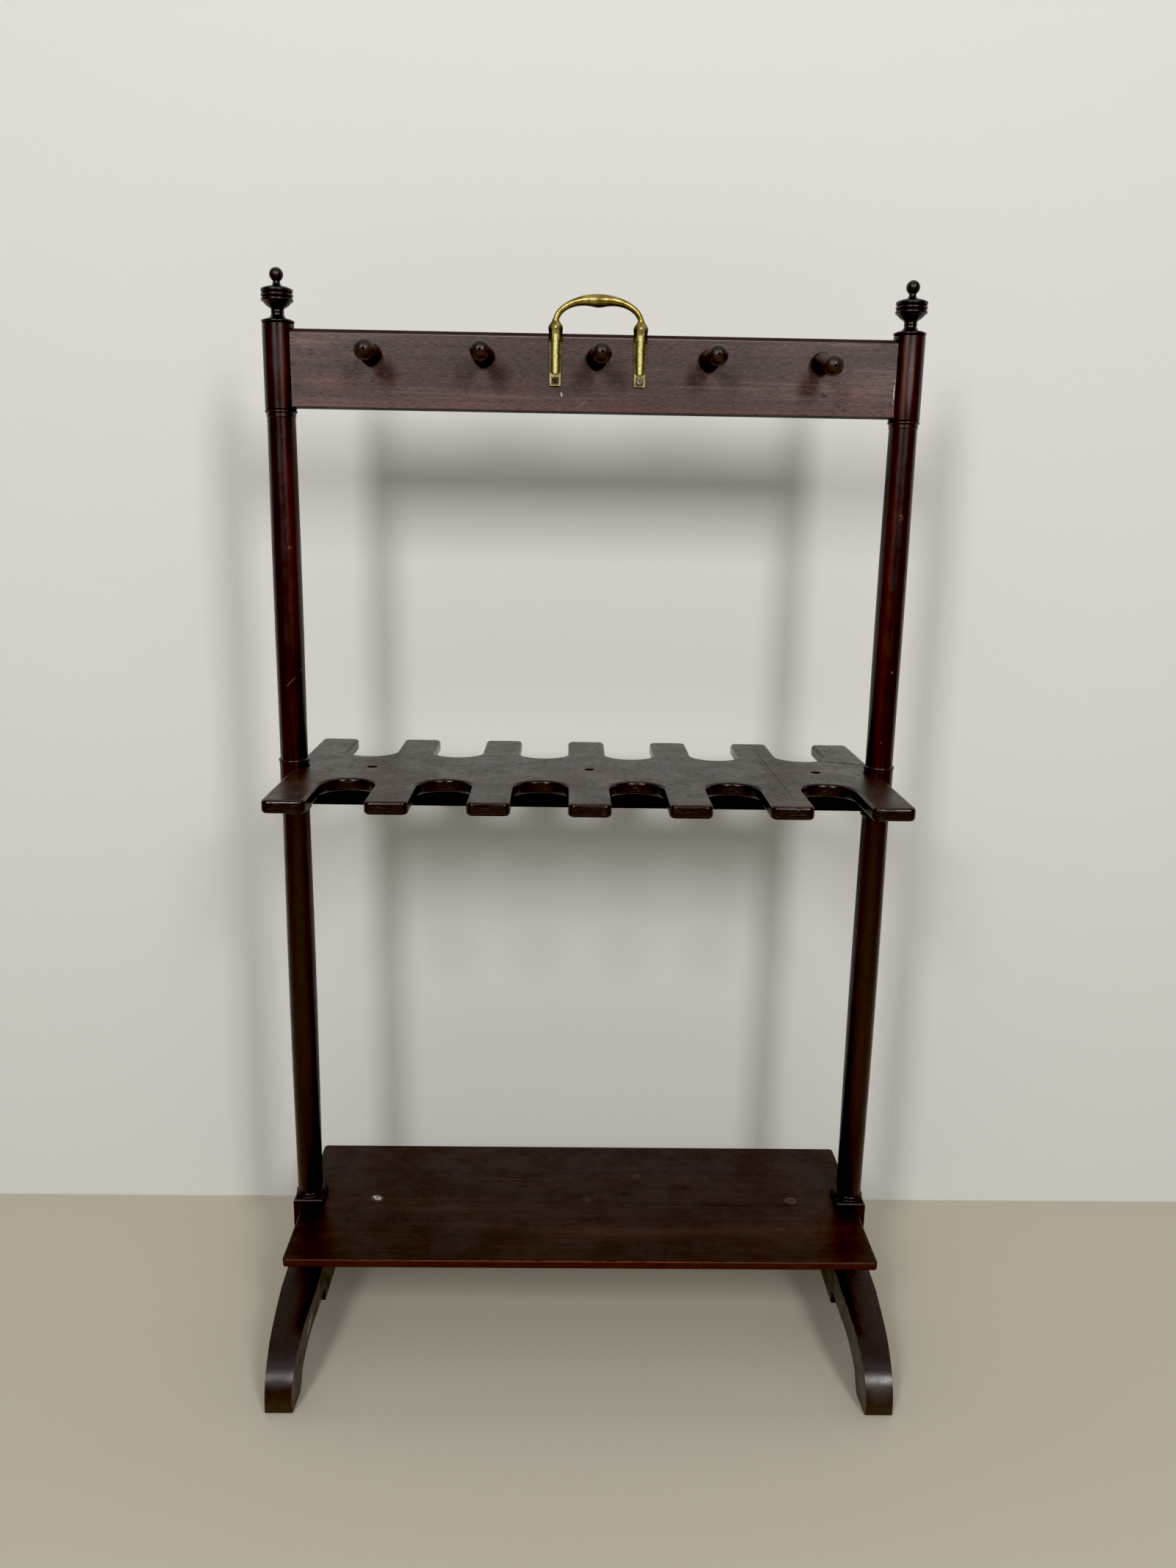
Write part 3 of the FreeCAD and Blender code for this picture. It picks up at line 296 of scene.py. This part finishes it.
def post_finish(side):
    """Deep red-brown turned wood under softly shining polish; side is -1 left, 1 right."""
    x = POST_X * side
    marks = {
        -1: [
            (line((-283.4, -12.5, 657), (-272, -12, 669), 0.5), SCRAPE, 0.55, 0.2, 0),
            (dot(-270.5, -10, 671.5, 1.0, 40, 0.6), PALE, 0.8, 0.2, -0.4),
            (line((-270, -10, 672), (-266, -7, 676), 0.7), SCRAPE, 0.6, 0.2, 0),
            (flecks((-286, -11, 790), (-268, -10, 783), 6, 300, 0.55),
             colour(120, 52, 30), 0.8, 0.2, -0.3),
            (dot(-281, -11, 840, 0.6), SCRAPE, 0.6, 0.1, 0),
        ],
        1: [
            (flecks((276, -12, 826), (282, -12, 819), 7, 300, 0.55),
             colour(190, 96, 52), 0.8, 0.2, -0.3),
            (dot(276.9, -12, 756.7, 1.1), colour(150, 70, 52), 0.7, 0.2, -0.4),
            (dot(282.5, -12, 680, 1.4, 0, 1.2), colour(168, 120, 110), 0.6, 0.2, -0.3),
            (dot(277.6, -12, 613, 1.2, 30, 0.7), colour(168, 110, 96), 0.6, 0.2, -0.3),
            (flecks((279, -14, 956), (281, -14, 946), 5, 600, 0.6), PALE, 0.7, 0.2, 0),
            (dot(265.8, -11, 197.6, 1.1, 30, 0.6), PALE, 0.9, 0.2, 0),
            (dot(290, -10, 941, 1.0), PIT, 0.8, 0.2, -0.5),
            # painted highlight: a pale streak down the right post's head
            (line((280, -13, 905), (280, -13, 985), 7), colour(120, 92, 84), 0.4, 0.1, 0),
        ],
    }[side]
    # painted shade: the moulding on top of the block darkened, and made rougher
    shaded_dull_moulding = band("Z", BLOCK_TOP - 3.3, BLOCK_TOP + 4.2, 1)
    marks.append((shaded_dull_moulding, colour(14, 5, 4), 0.6, 0.35, 0))
    return wood(
        "left_post_polish" if side < 0 else "right_post_polish", "Z",
        colour(17, 5, 4), colour(34, 9, 7), colour(60, 18, 12), 11.0 + 7 * side, specular=0.45,
        rough=(0.26, 0.36), coat=0.1, coat_rough=0.1, pores=0.4, wear=colour(134, 66, 44),
        wear_share=0.35, recess_shade=0.85, relief=0.12, soften=0.4, fine=0.35,
        # painted shade on the lower shafts; painted sheen in lengthwise bands beside the middle of
        # the shafts and heads
        tints=[(band("Z", 60, 560, 12), colour(12, 4, 3), 0.55),
               (painted_sheen_band(x, -6.5 * side, 560, 880), ORANGE_SHEEN, 0.14),
               (painted_sheen_band(x, -6.5 * side, 900, 978), ORANGE_SHEEN, 0.6),
               (painted_sheen_band(x, -5 * side, 904, 980), colour(96, 52, 28), 0.75 if side > 0 else 0.2)],
        marks=marks,
    )


def finial_finish():
    """Almost black polish, with painted shade between the reeds."""
    return wood(
        "finial_polish", "Z", colour(12, 6, 5), colour(22, 10, 8), colour(38, 18, 14), 31.0,
        rough=(0.27, 0.38), coat=0.0, wear=colour(96, 64, 54), wear_share=0.5, recess_shade=0.95,
        relief=0.15, soften=0.3,
    )


def foot_finish(side):
    """Near-black old polish, knocked about along the arrises; side is -1 left, 1 right."""
    marks = {
        -1: [
            (flecks((-263.5, -52, 62), (-266, -140, 24), 7, 260, 0.5, 9),
             colour(176, 116, 84), 0.85, 0.3, -0.5),
            (flecks((-264, -82, 50), (-265, -112, 38), 10, 500, 0.52, 9), PALE, 0.8, 0.3, -0.3),
            (line((-274, -112, 42), (-268, -106, 45), 1.4, 8), SCRAPE, 0.8, 0.2, 0),
            (patch(-281, -145, 26, (26, 26, 22)), colour(30, 24, 20), 0.6, 0.25, 0),
            (dot(-281, -122, 37, 1.5, 20, 0.6), colour(150, 140, 128), 0.7, 0.2, 0),
        ],
        1: [
            (line((274, -148, 24), (281, -126, 36), 0.7, 8), PIT, 0.8, 0.2, -0.8),
            (flecks((264, -70, 58), (266, -120, 34), 5, 340, 0.56, 9),
             colour(120, 86, 70), 0.7, 0.3, -0.4),
            (dot(287, -86, 52, 1.3), SCRAPE, 0.6, 0.2, 0),
            # painted highlight on the right toe
            (patch(281, -150, 22, (26, 22, 20)), colour(116, 106, 100), 0.6, 0.04, 0),
        ],
    }[side]
    floor_dust = band("Z", -2, 12, 8)
    return wood(
        "left_foot_polish" if side < 0 else "right_foot_polish", "Y",
        colour(20, 12, 9), colour(31, 19, 14), colour(46, 28, 21), 47.0 + side, specular=0.4,
        rough=(0.26, 0.46) if side < 0 else (0.2, 0.34), coat=0.1, coat_rough=0.2, pores=0.5,
        wear=colour(128, 86, 62), wear_share=0.6, wear_reach=2.6, recess_shade=0.6, relief=0.25,
        soften=0.8, fine=0.4,
        tints=[(floor_dust, colour(70, 58, 44), 0.4)],
        marks=marks,
    )


def rail_finish():
    """Dull handled satin, grey over red-brown, with the polish left dark on the chamfer."""
    face = RAIL_FRONT
    worn = [
        (band("Z", 972, 980, 0.35), colour(30, 9, 8), 0.95, 0.3, 0),
        (band("Z", 900, 909.4, 0.5), colour(16, 7, 7), 0.9, 0.2, 0),
        (flecks((-266, face, 971.4), (266, face, 971.4), 1.0, 60, 0.3),
         colour(150, 128, 122), 0.65, 0.1, 0),
        (line((-187, face, 951.8), (-176, face, 953), 1.9), colour(84, 12, 9), 1.0, 0.1, -0.6),
        (dot(-196.5, face, 925.5, 0.8), PIT, 0.95, 0.1, -1.0),
        (dot(-93, face, 939.5, 0.7), PIT, 0.8, 0.1, -0.6),
        (dot(-29.3, face, 923.4, 0.7, -12, 3.6), PALE, 0.95, 0.2, 0),
        (line((-16, face, 911.5), (-6.5, face, 918.5), 0.8), colour(150, 124, 120), 0.6, 0.1, 0),
        (dot(206, face, 926.6, 1.6, 15, 0.6), PIT, 0.8, 0.2, -1.0),
        (flecks((196, face, 928), (214, face, 924), 5, 500, 0.5), PIT, 0.75, 0.2, -0.8),
        (flecks((210, face, 922), (228, face, 912), 6, 420, 0.5), PIT, 0.5, 0.2, -0.8),
        (flecks((196, face, 952), (190, face, 934), 6, 600, 0.52), PIT, 0.45, 0.2, -0.5),
        (line((122, face, 912.5), (126, face, 919), 0.9), PIT, 0.5, 0.1, -0.6),
        (line((84, face, 930), (110, face, 928), 1.3), PIT, 0.4, 0.1, -0.4),
        (line((66, face, 921), (67, face, 932), 0.9), colour(92, 44, 40), 0.6, 0.1, -0.3),
        (flecks((267.6, face, 946), (267.2, face, 912), 1.2, 700, 0.48), PALE, 0.8, 0.2, 0),
    ]
    return wood(
        "rail_satin", "X", colour(50, 35, 34), colour(73, 53, 50), colour(118, 92, 83), 63.0,
        rough=(0.36, 0.48), coat=0.0, pores=0.5, dash=(170, 1900), pore_rough=0.25,
        wear=colour(126, 88, 80), wear_share=0.4, recess_shade=0.8, relief=0.35, soften=0.5, fine=0.85,
        tints=[
            # painted reflection: a dark red patch right of and below the left-hand peg
            (patch(-182, face, 934, (15, 8, 9)), colour(84, 30, 28), 0.3),
            (patch(-66, face, 929, (22, 8, 9)), colour(100, 50, 44), 0.3),
            (patch(-235, face, 930, (30, 8, 12)), colour(112, 70, 58), 0.45),
            (patch(232, face, 928, (26, 8, 14)), colour(116, 72, 62), 0.5),
            (patch(-85, face, 948, (30, 8, 10)), colour(74, 52, 50), 0.45),
            (band("Z", 906, 916, 5), colour(104, 62, 50), 0.35),
        ],
        marks=worn,
    )


def peg_finish():
    """Dark satin with its grain along the peg, with painted shade in its hollows."""
    return wood(
        "peg_polish", "Y", colour(24, 15, 12), colour(38, 24, 18), colour(58, 38, 30), 71.0,
        rough=(0.34, 0.46), coat=0.0, pores=0.3, wear=colour(110, 78, 64), wear_share=0.5,
        recess_shade=0.95, relief=0.15, soften=0.3,
    )


def comb_finish():
    """Worn satin on the top; round the edges and underneath the polish is shinier and darkened
    with painted shade.
    """
    top = COMB_TOP
    marks = [
        # painted shade: the comb's sides and underside darkened, their polish shinier
        (band("Z", top - 20.7, top - 1, 0.5), colour(19, 10, 9), 0.9, -0.12, 0),
        (line((175.5, 165, top), (178.5, -150, top), 1.2, level=True),
         colour(38, 12, 9), 0.95, 0.5, -1.0),
        (line((172, 60, top), (174, -20, top), 0.8, level=True),
         colour(30, 20, 17), 0.7, 0.4, -0.5),
        (flecks((214, 62, top), (290, 30, top), 9, 300, 0.45, level=True),
         colour(26, 20, 18), 0.8, 0.4, -0.3),
        (line((232, 104, top), (262, 80, top), 1.6, level=True),
         colour(150, 146, 142), 0.6, 0.2, 0),
        (flecks((222, 112, top), (272, 96, top), 14, 380, 0.52, level=True),
         colour(26, 20, 18), 0.8, 0.4, -0.3),
        (flecks((-280, -96, top), (-244, -120, top), 26, 360, 0.64, level=True),
         colour(170, 150, 140), 0.7, 0.1, 0),
        (flecks((-270, -40, top), (-225, -80, top), 26, 420, 0.66, level=True),
         colour(150, 120, 108), 0.6, 0.1, 0),
        (dot(178, -139, 579, 2.2, 0, 0.8), PIT, 0.8, 0.2, -1.0),
    ]
    # painted shade in the screw counterbores
    for x in COMB_SCREW_X:
        marks.append((dot(x, 1, top - 4.7, 4.8), colour(14, 9, 8), 0.7, 0.3, 0))
    return wood(
        "comb_satin", "X", colour(30, 19, 13), colour(46, 30, 20), colour(66, 46, 32), 83.0,
        rough=(0.3, 0.4), coat=0.0, pores=0.9, wear=colour(140, 116, 104), wear_share=0.35,
        wear_reach=1.6, recess_shade=0.9, relief=0.8, soften=0.8, fine=0.7, edge_dark=0.4,
        dash=(200, 900), pore_rough=0.5, specular=0.45,
        marks=marks,
    )


def shelf_finish():
    """Dark satin with long figure, redder where it is handled along the front edge."""
    top = SHELF_TOP
    marks = [
        (ring(220, 0, 4.9, 0.9), colour(132, 104, 84), 0.75, 0.1, 0),
        (ring(7, 0, 4.9, 0.7), colour(24, 16, 13), 0.7, 0.1, 0),
        (flecks((-218, 4, top), (-205, -4, top), 12, 330, 0.47, level=True), PALE, 0.9, 0.3, 0),
        (ring(-211.5, 0, 5.0, 0.7), colour(150, 130, 116), 0.45, 0.1, 0),
        (patch(47, 11, top, (9, 6, 3)), colour(17, 10, 9), 0.75, 0.1, 0),
        (patch(61, 46, top, (6, 5, 3)), colour(104, 78, 62), 0.6, 0.1, 0),
        (dot(61, 46, top, 1.5), PIT, 0.9, 0.1, 0),
        (line((-150, 39, top), (0, 36, top), 0.9, level=True), colour(112, 88, 74), 0.55, 0.1, 0),
        (line((0, -8, top), (286, -10, top), 1.8, level=True), colour(18, 10, 8), 0.7, 0.1, -0.3),
        (line((-60, 38, top), (-20, 42, top), 0.8, level=True), colour(120, 92, 80), 0.5, 0.1, 0),
        (flecks((-270, -60, top), (-180, -95, top), 24, 300, 0.66, level=True),
         colour(120, 104, 92), 0.6, 0.1, 0),
        (flecks((-60, -60, top), (120, -70, top), 30, 260, 0.68, level=True),
         colour(104, 84, 72), 0.5, 0.1, 0),
        (flecks((-320, -106.4, 120.6), (320, -106.4, 120.6), 1.4, 90, 0.4, 2, level=True),
         colour(104, 62, 46), 0.6, 0.1, 0),
        (flecks((286, 40, top), (286, 60, top), 14, 200, 0.5, level=True),
         colour(96, 84, 70), 0.6, 0.2, 0),
    ]
    return wood(
        "shelf_satin", "X", colour(26, 15, 11), colour(40, 23, 16), colour(58, 35, 25), 97.0,
        rough=(0.34, 0.5), coat=0.0, specular=0.25, pores=0.45, wear=colour(122, 70, 48),
        wear_share=0.7, wear_reach=1.4, recess_shade=0.7, relief=0.25, soften=0.5, fine=0.5,
        tints=[
            (band("Y", -110, -105.6, 0.6), colour(64, 36, 26), 0.75),
            (patch(210, -60, top, (90, 40, 8)), colour(80, 44, 28), 0.2),
            (patch(-60, 70, top, (200, 26, 8)), colour(48, 36, 28), 0.4),
        ],
        marks=marks,
    )


def bearer_finish(name, seed):
    """Near-black polish on the rails under the comb and the shelf, darkened as painted shade."""
    return wood(
        name, "X", colour(14, 7, 6), colour(24, 11, 8), colour(38, 18, 13), seed,
        rough=(0.34, 0.5), coat=0.0, specular=0.25, pores=0.5, wear=colour(110, 66, 50),
        wear_share=0.5, recess_shade=0.7, relief=0.25, soften=0.5, fine=0.5,
    )


def pellet_finish():
    """Short-grained plugs nearly the shelf's own colour, the left one flecked with old filler."""
    top = SHELF_TOP + 0.2
    filler = flecks((-219, 4, top), (-204, -4, top), 9, 330, 0.47, level=True)
    return wood(
        "pellet_wood", "Y", colour(26, 15, 11), colour(40, 24, 17), colour(60, 38, 28), 105.0,
        rough=(0.4, 0.55), coat=0.0, pores=0.5, wear=colour(110, 82, 64), wear_share=0.25,
        wear_reach=0.6, recess_shade=0.5, relief=0.3, soften=0.3, fine=0.6,
        marks=[(filler, PALE, 0.85, 0.2, 0)],
    )


# ---------------------------------------------------------------- metal

def brass_finish():
    """Cast brass, green-black in the recesses, rubbed yellow with a painted highlight on the
    fronts of its ribs, with darker strap sides, painted shade underneath and a painted copper-red
    reflection on the bar.
    """
    screw_at, pad_top, strap_top = 934.5, 941, 979
    f = Finish("aged_brass")
    cloud = f.noise((70, 70, 70), 2.0, 4, 0.6)
    speck = f.noise((520, 520, 520), 3.0, 3, 0.6)
    polish_lines = f.noise((60, 60, 1400), 4.0, 2, 0.5)
    facing = f.add("ShaderNodeSeparateXYZ")
    f.feed(facing.inputs[0], f.normal)
    tone = f.mix(f.ramp(cloud, 0.35, 0.65), colour(132, 116, 68), colour(180, 164, 106))
    # painted reflection: a copper-red patch on the middle of the bar
    copper_reflection = f.times(f.spot((2.4, -14, 1004), (14, 9, 6), soft=0.9), 0.4)
    tone = f.mix(copper_reflection, tone, colour(140, 92, 62))
    tone = f.mix(f.ramp(speck, 0.52, 0.66, 0.0, 0.5), tone, colour(84, 68, 34))
    sideways = f.axis("X")
    inward = f.math("MINIMUM", *[f.math("ABSOLUTE", f.plus(sideways, -x * MM)) for x in STRAP_X])
    upper = band("Z", pad_top, strap_top, 1.5)(f)
    front = f.ramp(facing.outputs["Y"], -0.6, -0.35, 1.0, 0.0)
    margin = f.times(f.times(upper, front), f.ramp(inward, 2.9 * MM, 3.5 * MM))
    tone = f.mix(f.times(margin, 0.85), tone, colour(62, 58, 36))
    # painted highlight on the fronts of the straps' ribs, over rubbed brass
    rib = f.times(f.times(upper, front), f.ramp(inward, 2.5 * MM, 3.2 * MM, 1.0, 0.0))
    tone = f.mix(f.times(rib, f.ramp(speck, 0.66, 0.4, 0.4, 0.9)), tone, colour(214, 204, 146))
    around_screw = band("Z", screw_at - 3.3, screw_at + 3.3, 0.3)(f)
    well = f.times(around_screw, f.ramp(inward, 3.0 * MM, 3.5 * MM, 1.0, 0.0))
    tone = f.mix(f.times(band("Z", 925, pad_top, 0.5)(f), 0.6), tone, colour(206, 192, 136))
    tone = f.mix(f.times(well, 0.9), tone, colour(34, 32, 22))
    outward = f.math("ABSOLUTE", facing.outputs["X"])
    # the straps' sides darker, and painted shade underneath
    flank = f.times(band("Z", 929, 984, 2)(f), f.ramp(outward, 0.5, 0.8))
    under = f.ramp(facing.outputs["Z"], -0.75, -0.2, 1.0, 0.0)
    underside_shade_and_dark_sides = f.math("MAXIMUM", f.times(flank, 0.85), f.times(under, 0.75))
    tone = f.mix(underside_shade_and_dark_sides, tone, colour(44, 40, 24))
    recess = f.ramp(f.edges(2.4, False), 0.2, 0.6)
    tone = f.mix(f.times(recess, 0.9), tone, colour(30, 27, 15))
    green = f.times(f.ramp(f.noise((240, 240, 240), 6.0, 4, 0.6), 0.55, 0.66), 0.4)
    tone = f.mix(green, tone, colour(72, 78, 52))
    rubbed = f.ramp(f.edges(1.2), 0.25, 0.6)
    tone = f.mix(f.times(rubbed, 0.5), tone, colour(222, 204, 146))
    roughness = f.plus(f.ramp(cloud, 0.3, 0.7, 0.26, 0.42), f.times(recess, 0.35))
    roughness = f.plus(roughness, f.times(f.ramp(speck, 0.5, 0.66), 0.12))
    roughness = f.plus(roughness, f.times(rib, 0.12))
    f.set(Base_Color=tone, Roughness=roughness)
    crust_and_shade = f.math("MAXIMUM", f.math("MAXIMUM", recess, underside_shade_and_dark_sides), well)
    f.set(Metallic=f.math("SUBTRACT", 1.0, f.times(crust_and_shade, 0.5)))
    f.bump(f.plus(f.times(speck, 0.6), f.times(polish_lines, 0.4)), 0.25, 0.15, 0.3)
    return f.material


def screw_finish(name, bright, dull, rust, seed, uneven=False):
    """Old steel, rusted in the slot; uneven leaves the left-hand ones darker."""
    f = Finish(name)
    cloud = f.noise((420, 420, 420), seed, 4, 0.65)
    tone = f.mix(f.ramp(cloud, 0.4, 0.62), dull, bright)
    if uneven:
        tone = f.mix(f.ramp(f.axis("X"), -0.01, 0.01, 0.85, 0.0), tone, colour(44, 34, 26))
    recess = f.ramp(f.edges(1.6, False), 0.2, 0.7)
    tone = f.mix(f.times(recess, 0.85), tone, rust)
    tone = f.mix(f.ramp(f.noise((800, 800, 800), seed + 1, 3), 0.55, 0.66, 0.0, 0.6), tone, rust)
    roughness = f.plus(f.ramp(cloud, 0.3, 0.7, 0.3, 0.5), f.times(recess, 0.3))
    f.set(Base_Color=tone, Roughness=roughness)
    f.set(Metallic=f.math("SUBTRACT", 0.9, f.times(recess, 0.6)))
    f.bump(cloud, 0.4, 0.12, 0.2)
    return f.material


def dress():
    """Give every node its finish."""
    pegs = peg_finish()
    finials = finial_finish()
    finishes = {
        "left_post": post_finish(-1), "right_post": post_finish(1),
        "left_finial": finials, "right_finial": finials,
        "left_foot": foot_finish(-1), "right_foot": foot_finish(1),
        "top_rail": rail_finish(), "boot_comb": comb_finish(), "base_shelf": shelf_finish(),
        "comb_bearer": bearer_finish("comb_bearer_wood", 111.0),
        "shelf_bearer": bearer_finish("shelf_bearer_wood", 119.0),
        "shelf_pellets": pellet_finish(), "carrying_handle": brass_finish(),
        "handle_screws": screw_finish(
            "handle_screw_steel",
            colour(176, 166, 150), colour(112, 100, 84), colour(40, 30, 22), 9.0, True),
        "comb_screws": screw_finish(
            "comb_screw_steel",
            colour(190, 176, 158), colour(126, 104, 84), colour(60, 36, 24), 15.0),
        "shelf_screws": screw_finish(
            "shelf_screw_steel",
            colour(120, 112, 104), colour(84, 76, 68), colour(60, 36, 24), 21.0),
    }
    for name, node in nodes.items():
        finish = pegs if name.startswith("whip_peg") else finishes[name]
        node.data.materials.clear()
        node.data.materials.append(finish)


# ---------------------------------------------------------------- studio

def plain_sheet(name, corners, tone):
    """A plain pale floor or backdrop, which isn't part of the rack."""
    mesh = bpy.data.meshes.new(name)
    mesh.from_pydata(corners, [], [(0, 1, 2, 3)])
    sheet = bpy.data.objects.new(name, mesh)
    bpy.context.scene.collection.objects.link(sheet)
    f = Finish(name + "_paint")
    f.set(Base_Color=tone, Roughness=0.75)
    f.shader.inputs["Specular IOR Level"].default_value = 0.2
    mesh.materials.append(f.material)
    return f


def soft_light(name, at, aim, width, height, watts, tone=(1, 1, 1)):
    """An area light at a place, turned to face aim."""
    data = bpy.data.lights.new(name, "AREA")
    data.shape = "RECTANGLE"
    data.size, data.size_y, data.energy, data.color = width, height, watts, tone
    lamp = bpy.data.objects.new(name, data)
    bpy.context.scene.collection.objects.link(lamp)
    lamp.location = at
    lamp.rotation_euler = (Vector(aim) - Vector(at)).to_track_quat("-Z", "Y").to_euler()


def studio():
    """Plain floor and wall, two soft lights in front and a dim ceiling light."""
    wall_y, far = 0.2, 3
    level = [(-far, -far, 0), (far, -far, 0), (far, far, 0), (-far, far, 0)]
    plain_sheet("floor", level, colour(200, 193, 178))
    upright = [(-far, wall_y, 0), (far, wall_y, 0), (far, wall_y, far), (-far, wall_y, far)]
    wall = plain_sheet("backdrop", upright, colour(226, 226, 222))
    # the backdrop is seen from its front only, so it doesn't hide the rack's back
    clear = wall.add("ShaderNodeBsdfTransparent")
    one_sided = wall.add("ShaderNodeMixShader")
    wall.feed(one_sided.inputs[0], wall.add("ShaderNodeNewGeometry").outputs["Backfacing"])
    wall.feed(one_sided.inputs[1], wall.shader.outputs[0])
    wall.feed(one_sided.inputs[2], clear.outputs[0])
    output = wall.tree.nodes["Material Output"]
    wall.feed(output.inputs["Surface"], one_sided.outputs[0])

    for name, x in (("left_softbox", -1.03), ("right_softbox", 1.06)):
        soft_light(name, (x, -2.6, 2.1), (0, 0, 0.8), width=0.45, height=1.0, watts=36,
                   tone=(1.0, 0.99, 0.98))
    soft_light("ceiling", (0, -0.9, 2.7), (0, -0.1, 0), width=2.6, height=2.2, watts=7)
    # the room lights the rack faintly, but looks pale where the camera sees it
    lit_level, seen_level = 0.24, 0.9
    world = bpy.data.worlds.new("room")
    bpy.context.scene.world = world
    world.use_nodes = True
    tree = world.node_tree
    back = tree.nodes["Background"]
    back.inputs[0].default_value = (0.82, 0.82, 0.8, 1)
    seen = tree.nodes.new("ShaderNodeLightPath")
    strength = tree.nodes.new("ShaderNodeMapRange")
    strength.inputs["To Min"].default_value = lit_level
    strength.inputs["To Max"].default_value = seen_level
    tree.links.new(seen.outputs["Is Camera Ray"], strength.inputs[0])
    tree.links.new(strength.outputs[0], back.inputs[1])
    # the photograph's own response: plain, with the deepest tones going to black
    shown = bpy.context.scene.view_settings
    shown.view_transform = "Standard"
    shown.use_curve_mapping = True
    shown.curve_mapping.black_level = (0.016, 0.0175, 0.0175)
    shown.curve_mapping.update()


def camera():
    """Hand-held view from in front, a little left of the middle, looking slightly down."""
    place = Vector((-0.02075, -1.14619, 0.83053))
    yaw, pitch, roll = math.radians(1.0621), math.radians(12.9784), math.radians(0.9911)
    run = math.cos(pitch)
    ahead = Vector((math.sin(yaw) * run, math.cos(yaw) * run, -math.sin(pitch)))
    level = Vector((math.cos(yaw), -math.sin(yaw), 0.0))
    upright = level.cross(ahead)
    right = math.cos(roll) * level + math.sin(roll) * upright
    up = math.cos(roll) * upright - math.sin(roll) * level
    data = bpy.data.cameras.new("camera")
    data.sensor_fit = "VERTICAL"
    data.sensor_height = 36.0
    data.lens = 28.08
    cam = bpy.data.objects.new("camera", data)
    bpy.context.scene.collection.objects.link(cam)
    turn = Matrix((right, up, -ahead)).transposed()
    cam.matrix_world = Matrix.Translation(place) @ turn.to_4x4()
    bpy.context.scene.camera = cam


dress()
studio()
camera()
